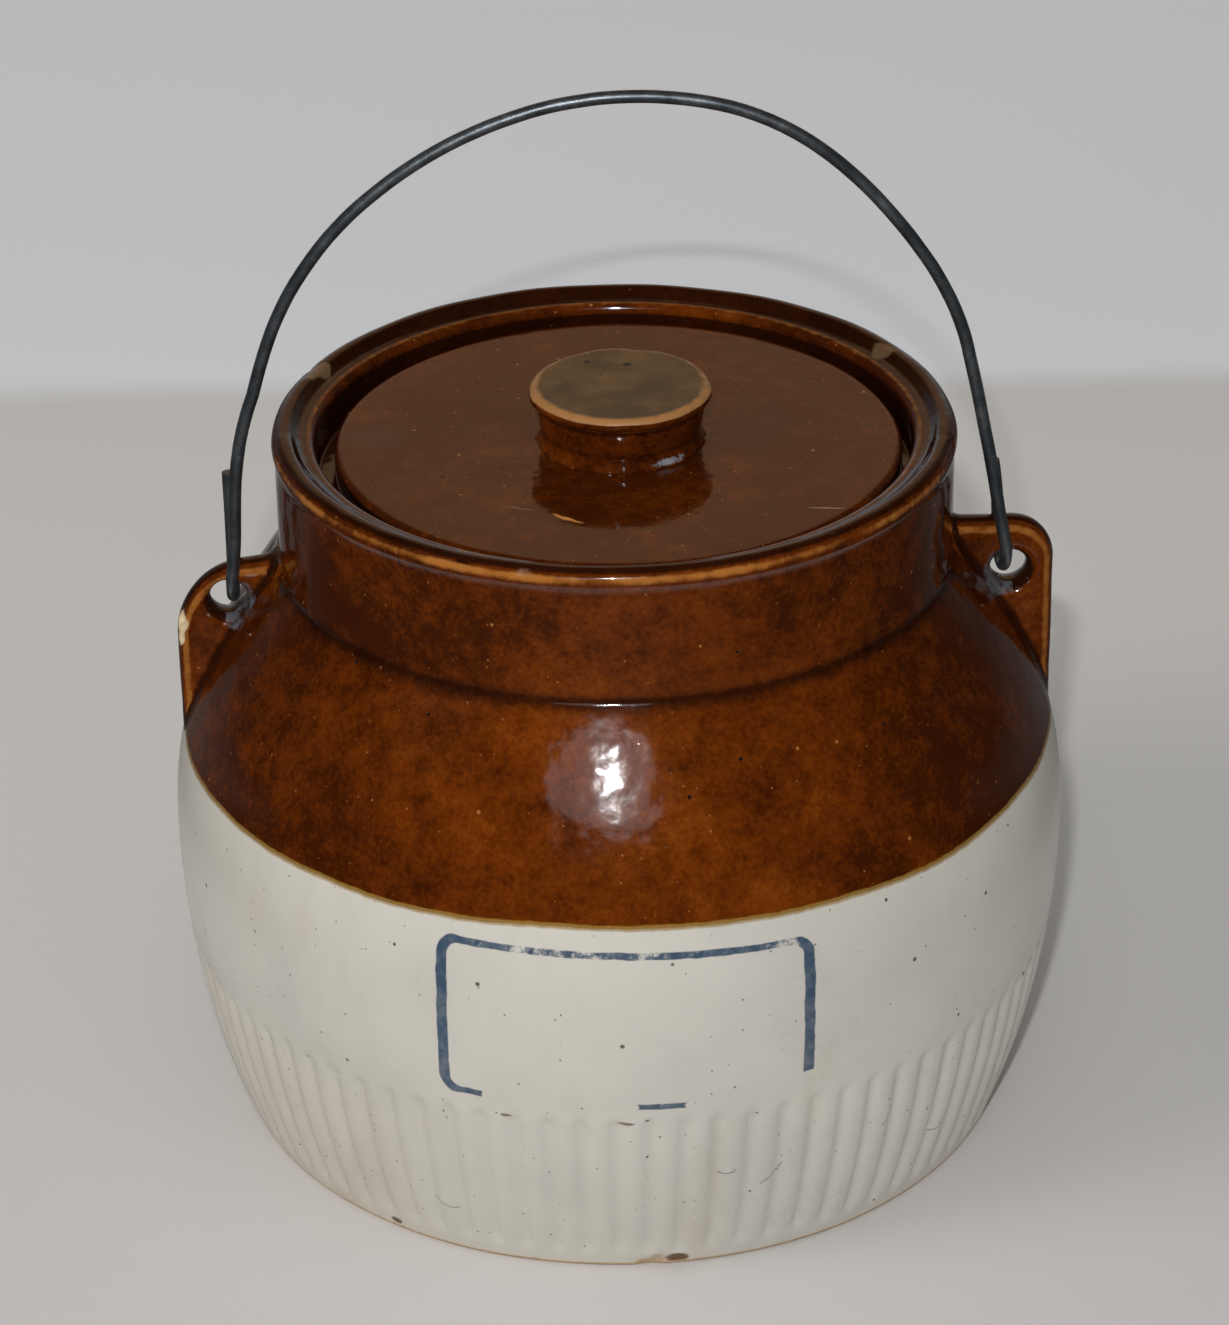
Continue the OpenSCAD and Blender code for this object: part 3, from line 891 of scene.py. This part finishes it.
def make_lid(material):
    centre = (lid_low.x + lid_high.x) / 2
    r, edge = lid_high.y, 1.5
    low, high = lid_low.z, lid_high.z
    outline = (
        [(0, low), (r * 0.5, low)]
        + arc((r - edge, low + edge), edge, -90, 0, 6)
        + arc((r - edge, high - edge), edge, 0, 90, 7)
        + [(radius, high) for radius in np.linspace(r - edge - 0.8, 1.5, 34)]
        + [(0, high - 0.16)]
    )
    points, faces = turned(outline, 320, shape_lid, centre)
    away = np.hypot(points[:, 0] - centre, points[:, 1])
    z = points[:, 2]
    # Painted shade round the knob's foot, and on the plate's edge and underside, which sit in the gap under
    # the rim.
    root = np.exp(-(((away - 17.5) / 1.2) ** 2)) * 0.5
    paint = {"worn": np.exp(-(((away - r + 1.3) / 0.6) ** 2)) * (z > high - 0.9) * 0.25}
    paint["pooled"] = np.maximum(root, 1 - fade(z, high - 1.6, high - 0.7))
    return finish_mesh("lid_disc", points, faces, material, "lid", "lid_plate", paint)


def shape_knob(radius, height, angle):
    """The head was cut by hand, so its edge wavers, and its top is a little hollow."""
    head = fade(height, knob_low.z + 7, knob_high.z - 2)
    waver = 0.20 + 0.12 * np.sin(3 * angle + 0.6) + 0.10 * np.sin(7 * angle) + 0.05 * np.sin(16 * angle + 1)
    root = 1 - fade(height, knob_low.z + 0.5, knob_low.z + 2.4)
    lumps = 0.20 * np.sin(8 * angle + 2) + 0.16 * np.sin(19 * angle) + 0.1 * np.sin(31 * angle + 1)
    notch = 0.35 * np.exp(-(((angle - 1.35) / 0.16) ** 2)) * fade(radius, 14, 17)
    fall = (0.07 * (1 + np.sin(2 * angle + 2.4)) + notch) * fade(height, knob_high.z - 1, knob_high.z - 0.4)
    radius = radius - waver * head * np.clip(radius / 18, 0, 1) + (lumps - 0.3) * root * (radius > 12)
    return radius, height - fall


def make_knob(material):
    centre = (knob_low.x + knob_high.x) / 2
    low, high = knob_low.z, knob_high.z
    head_r = (knob_high.x - knob_low.x) / 2
    neck_r, foot_r = 17.6, 16.5
    outline = (
        [(0, low - 0.8), (foot_r + 0.6, low - 0.8), (foot_r + 1.2, low - 0.1), (foot_r + 1.0, low + 0.4)]
        + [(foot_r + 0.7, low + 1.0), (foot_r + 0.3, low + 1.9), (foot_r + 0.1, low + 3.0)]
        + line((foot_r + 0.3, low + 3.2), (neck_r, high - 4.2), 6, sag=-0.1)
        + [(neck_r + 0.15, high - 3.4), (neck_r + 0.6, high - 2.85)]
        + arc((head_r - 1.3, high - 1.5), 1.3, -55, 62, 9)
        + [(head_r - 1.25, high - 0.08), (head_r - 2.0, high), (head_r - 2.8, high - 0.12)]
        + [(head_r - 3.8, high - 0.24)]
        + [(radius, high - 0.3) for radius in np.linspace(head_r - 5, 1.5, 9)]
        + [(0, high - 0.32)]
    )
    points, faces = turned(outline, 224, shape_knob, centre)
    away = np.hypot(points[:, 0] - centre, points[:, 1])
    z = points[:, 2]
    angle = np.arctan2(points[:, 1], points[:, 0] - centre)
    patch = np.exp(-(((np.mod(angle - radians(-58) + pi, 2 * pi) - pi) / 0.42) ** 2))
    bead = np.exp(-(((z - low - 1.0) / 1.3) ** 2)) * (away > 12)
    top = fade(z, high - 1.15, high - 0.75)
    paint = {
        "bare": top,
        "head_rim": fade(away, head_r - 3.4, head_r - 1.2) * top * (0.82 - 0.16 * np.sin(angle)),
        # Orange on the lower edge of the head, standing also for a painted highlight along that edge, and on
        # the bead at the foot.
        "worn": np.maximum(np.exp(-(((z - high + 2.7) / 0.5) ** 2)) * (away > neck_r) * 0.5, bead * 0.3),
        # Painted shade on the stem just under the head.
        "pooled": np.exp(-(((z - high + 3.6) / 0.7) ** 2)) * 0.7 * (away > 12),
        "milky": patch * bead,
    }
    return finish_mesh("lid_handle", points, faces, material, "lid", "lid_knob", paint)


# ---- Bail: a tree of nodes that sweeps the wire along its route ----

WIRE_R = 1.35
HOOK_R = (bail_high.y - bail_low.y) / 2 - WIRE_R
HINGE_Z = frame["joints"][1]["pos_m"][2] / MM
ARCH_R = 74.5
ARCH_Z = bail_high.z - WIRE_R - ARCH_R
# Side 1 is the right and -1 the left. How far out each hook hangs, how its leg bows, and its loose end.
HOOKS = {1: bail_high.x - WIRE_R, -1: bail_high.x - WIRE_R - 1.2}
LEG_BOWS = {1: 0.5, -1: -2.9}
TAILS = {1: 14.0, -1: 18.0}
TAIL_LEAN = {1: -1.2, -1: 0.0}
# Hand bends in the arch: angle round it, how far outwards, and over how many degrees.
BENDS = [(186, 2.1, 14), (119, -1.75, 29), (66, 0.5, 12), (38, -1.3, 17)]


def arch_radius(turn):
    return ARCH_R - 0.1 + sum(out * np.exp(-(((turn - at) / wide) ** 2)) for at, out, wide in BENDS)


def bail_route():
    """The middle of the wire from one loose end to the other."""
    starts = []
    for side, hook_x in HOOKS.items():
        reach = hypot(hook_x, ARCH_Z - HINGE_Z)
        starts.append(np.degrees(np.arccos(ARCH_R / reach) - atan2(ARCH_Z - HINGE_Z, hook_x)))
    arch = []
    for turn in np.linspace(starts[0], 180 - starts[1], 72):
        r, a = arch_radius(turn), radians(turn)
        arch.append((r * cos(a), -HOOK_R, ARCH_Z + r * sin(a)))

    def end(side):
        leg_top = np.array(arch[0] if side > 0 else arch[-1])
        hook_x = HOOKS[side]
        leg_low = np.array([side * hook_x, -HOOK_R, HINGE_Z])
        bow = np.array([LEG_BOWS[side], 0, 0])
        leg = []
        for t in np.linspace(0, 1, 12)[1:]:
            leg.append(leg_top + (leg_low - leg_top) * t + bow * sin(pi * t) * (1 - t))
        hook = []
        for a in np.radians(np.linspace(180, 360, 16)[1:]):
            hook.append([side * hook_x, HOOK_R * cos(a), HINGE_Z + HOOK_R * sin(a)])
        tail = TAILS[side]
        loose = []
        for t in np.linspace(0, 1, 7)[1:]:
            loose.append([side * (hook_x + TAIL_LEAN[side] * t * t), HOOK_R, HINGE_Z + tail * t])
        return [*leg, *hook, *loose]

    return [*reversed(end(1)), *arch, *end(-1)]


def wire_tree():
    """Sweeps a round wire along a route, with a slight shake from its years of use."""
    kinds = {"Radius": "Float", "Spacing": "Float", "Shake": "Float", "Sides": "Int", "Material": "Material"}
    kit, given, ports = open_tree("drawn_wire", kinds)
    path = kit.node("GeometryNodeMeshToCurve", sockets={0: given})
    spacing = {"Curve": path, "Length": given.other("Spacing")}
    even = kit.node("GeometryNodeResampleCurve", {"mode": "LENGTH"}, spacing)
    place = kit.node("GeometryNodeInputPosition")
    waver = {"Vector": place, "Scale": 70.0, "Detail": 1.0}
    uneven = kit.node("ShaderNodeTexNoise", sockets=waver, out="Color")
    centred = kit.node("ShaderNodeVectorMath", {"operation": "SUBTRACT"}, {0: uneven, 1: (0.5, 0.5, 0.5)})
    shift = kit.node("ShaderNodeVectorMath", {"operation": "SCALE"}, {0: centred, 3: given.other("Shake")})
    bent = kit.node("GeometryNodeSetPosition", sockets={"Geometry": even, "Offset": shift})
    size = {"Resolution": given.other("Sides"), "Radius": given.other("Radius")}
    ring = kit.node("GeometryNodeCurvePrimitiveCircle", sockets=size)
    sweep = {"Curve": bent, "Profile Curve": ring, "Fill Caps": True}
    close_tree(kit, kit.node("GeometryNodeCurveToMesh", sockets=sweep), given)
    return kit.tree, ports


def make_bail(material):
    route = np.array(bail_route()) * MM
    mesh = bpy.data.meshes.new("bail_route")
    mesh.from_pydata(route.tolist(), [(i, i + 1) for i in range(len(route) - 1)], [])
    piece = bpy.data.objects.new("bail_loop", mesh)
    bpy.context.scene.collection.objects.link(piece)
    tree, ports = wire_tree()
    sizes = {"Radius": (WIRE_R - 0.02) * MM, "Spacing": 0.9 * MM, "Shake": 0.35 * MM, "Sides": 20}
    run_tree(piece, tree, ports, sizes | {"Material": material})
    return dress(piece, "bail", "bail_wire")


# ---- Camera, floor and light ----

VIEW_TURN = -3.3
VIEW_TILT = 28.303
VIEW_ROLL = -0.777
VIEW_DISTANCE = 969.7
VIEW_TARGET = (-0.592, 0.0, 96.948)
LENS = 123.8


def view_frame():
    """The camera's place and its right, up and forward directions, in millimetres."""
    turn = Matrix.Rotation(radians(VIEW_TURN), 3, "Z")
    tilt, roll = radians(VIEW_TILT), radians(VIEW_ROLL)
    forward = turn @ Vector((0, cos(tilt), -sin(tilt)))
    level = turn @ Vector((1, 0, 0))
    lift = turn @ Vector((0, sin(tilt), cos(tilt)))
    right = level * cos(roll) + lift * sin(roll)
    up = lift * cos(roll) - level * sin(roll)
    return turn @ Vector(VIEW_TARGET) - forward * VIEW_DISTANCE, right, up, forward


def make_camera():
    place, right, up, forward = view_frame()
    lens = bpy.data.cameras.new("camera")
    lens.lens = LENS
    lens.clip_start, lens.clip_end = 0.05, 50
    camera = bpy.data.objects.new("camera", lens)
    camera.matrix_world = Matrix((right, up, -forward)).transposed().to_4x4()
    camera.location = place * MM
    bpy.context.scene.collection.objects.link(camera)
    bpy.context.scene.camera = camera


def lamp(name, place, aim, width, level, colour, height=None, glossy=True):
    """A soft lamp. level is how brightly it alone would show a white card that faces it."""
    away = (Vector(aim) - Vector(place)) * MM
    light = bpy.data.lights.new(name, "AREA")
    light.shape = "ELLIPSE"
    light.size = width * MM
    light.size_y = (height or width) * MM
    light.energy = level * pi**2 * away.length_squared
    light.color = colour
    holder = bpy.data.objects.new(name, light)
    holder.location = Vector(place) * MM
    holder.rotation_mode = "QUATERNION"
    holder.rotation_quaternion = away.to_track_quat("-Z", "Y")
    holder.visible_glossy = glossy
    bpy.context.scene.collection.objects.link(holder)


def around_view(azimuth, elevation, distance):
    """A place seen from the pot at an angle to the right of the camera and above the floor."""
    a, e = radians(azimuth - 90 + VIEW_TURN), radians(elevation)
    return Vector((cos(a) * cos(e), sin(a) * cos(e), sin(e))) * distance


def make_lights():
    place, right, up, _ = view_frame()
    middle = (0, 0, 100)
    lamp("flash", place + up * 84 - right * 26, middle, 30, 0.45, (0.97, 0.985, 1.0), height=6)
    lamp("glow", place + up * 70 - right * 60, middle, 440, 0.034, (0.95, 0.93, 1.0), height=260)
    lamp("window", around_view(-64, 42, 1500), middle, 700, 0.23, (1.0, 0.965, 0.92), glossy=False)
    lamp("ceiling", around_view(20, 80, 1600), middle, 1200, 0.11, (1.0, 0.98, 0.96), glossy=False)


def make_floor():
    """One big sheet, a warm grey that turns cooler beyond the pot."""
    size = 6.0
    mesh = bpy.data.meshes.new("floor")
    corners = [(-size, -size, 0), (size, -size, 0), (size, size, 0), (-size, size, 0)]
    mesh.from_pydata(corners, [], [(0, 1, 2, 3)])
    floor = bpy.data.objects.new("floor", mesh)
    bpy.context.scene.collection.objects.link(floor)
    f = Finish("floor_paint")
    turn = radians(-VIEW_TURN)
    depth = f.x * sin(turn) + f.y * cos(turn)
    far = f.step(depth + (f.noise(60) - 0.5) * 6, 340, 362)
    farther = f.step(depth, -150, 340)
    near_colour = f.blend(f.colour((0.655, 0.635, 0.615)), f.colour((0.90, 0.87, 0.83)), farther)
    far_off = f.step(depth, 350, 700)
    far_colour = f.blend(f.colour((0.84, 0.845, 0.865)), f.colour((0.95, 0.955, 0.97)), far_off)
    colour = f.blend(near_colour, far_colour, far)
    # Reflections find the room dim beyond the table, except behind the pot.
    mirrored = f.node("ShaderNodeLightPath", out="Is Glossy Ray")
    across = (f.x**2 + f.y**2) ** 0.5
    aside = (f.x * cos(turn) - f.y * sin(turn)).math("ABSOLUTE") - depth * 0.3
    narrow = 1 - f.step(aside, -60, 120) * 0.8
    dim = (1 - f.step(depth, 40, 240) * narrow) * f.step(across, 150, 230)
    colour = f.blend(colour, f.colour((0.02, 0.02, 0.02)), mirrored * dim)
    # The camera sees the far part paler than its lamps reach.
    seen_far = far * mirrored.other("Is Camera Ray")
    seen_pale = f.blend(f.colour((0, 0, 0)), f.colour((0.115, 0.116, 0.118)), seen_far)
    mesh.materials.append(f.surface(colour, 0.7, f.noise(4) * 0.02, glow=seen_pale))


def make_world():
    """A pale wall with brown woodwork above it, in a dim room. The camera itself sees pale all round."""
    world = bpy.data.worlds.new("room")
    bpy.context.scene.world = world
    world.use_nodes = True
    kit = Kit(world.node_tree)
    kit.tree.nodes.clear()
    direction = kit.node("ShaderNodeTexCoord", out="Generated")
    x, y, z = kit.split(direction)
    turn = radians(-VIEW_TURN)
    ahead = x * sin(turn) + y * cos(turn)
    aside = x * cos(turn) - y * sin(turn)
    narrow = 1 - kit.step(aside.math("ABSOLUTE"), 0.15, 0.50) * 0.75
    wall = kit.step(ahead, 0.45, 0.9) * (1 - kit.step(z, 0.58, 0.80) * 0.9) * narrow
    seen = kit.node("ShaderNodeLightPath", out="Is Camera Ray")
    mirrored = seen.other("Is Glossy Ray")
    level = mirrored * (wall * 0.43 + 0.012) + (1 - mirrored) * (seen * 0.27 + 0.21)
    tones = {0: mirrored * kit.step(z, 0.20, 0.36), 6: (0.97, 0.985, 1.0, 1), 7: (1.0, 0.58, 0.33, 1)}
    colour = kit.node("ShaderNodeMix", {"data_type": "RGBA"}, tones, out=2)
    dimmed = kit.node("ShaderNodeVectorMath", {"operation": "SCALE"}, {0: colour, 3: level})
    sky = kit.node("ShaderNodeBackground", sockets={"Color": dimmed, "Strength": 1.0})
    kit.node("ShaderNodeOutputWorld", sockets={"Surface": sky})


# ---- Assembly ----

make_camera()
make_floor()
make_world()
make_lights()
bpy.context.scene.view_settings.view_transform = "Standard"

make_pot(pot_finish())
ear_glaze = ear_finish()
corner_chip = (93.6, -2.8, 112.5, 2.9, 2.0)
left = Ear(left_low, left_high, side=-1, corner=15.0, hole_x=81.5, droop=0.10, chip=corner_chip)
right = Ear(right_low, right_high, side=1, corner=10.0, hole_x=83.0, droop=0.0, chip=None)
make_ear("ear_left", "left_ear", left, ear_glaze)
make_ear("ear_right", "right_ear", right, ear_glaze)
make_lid(lid_finish())
make_knob(knob_finish())
make_bail(wire_finish())
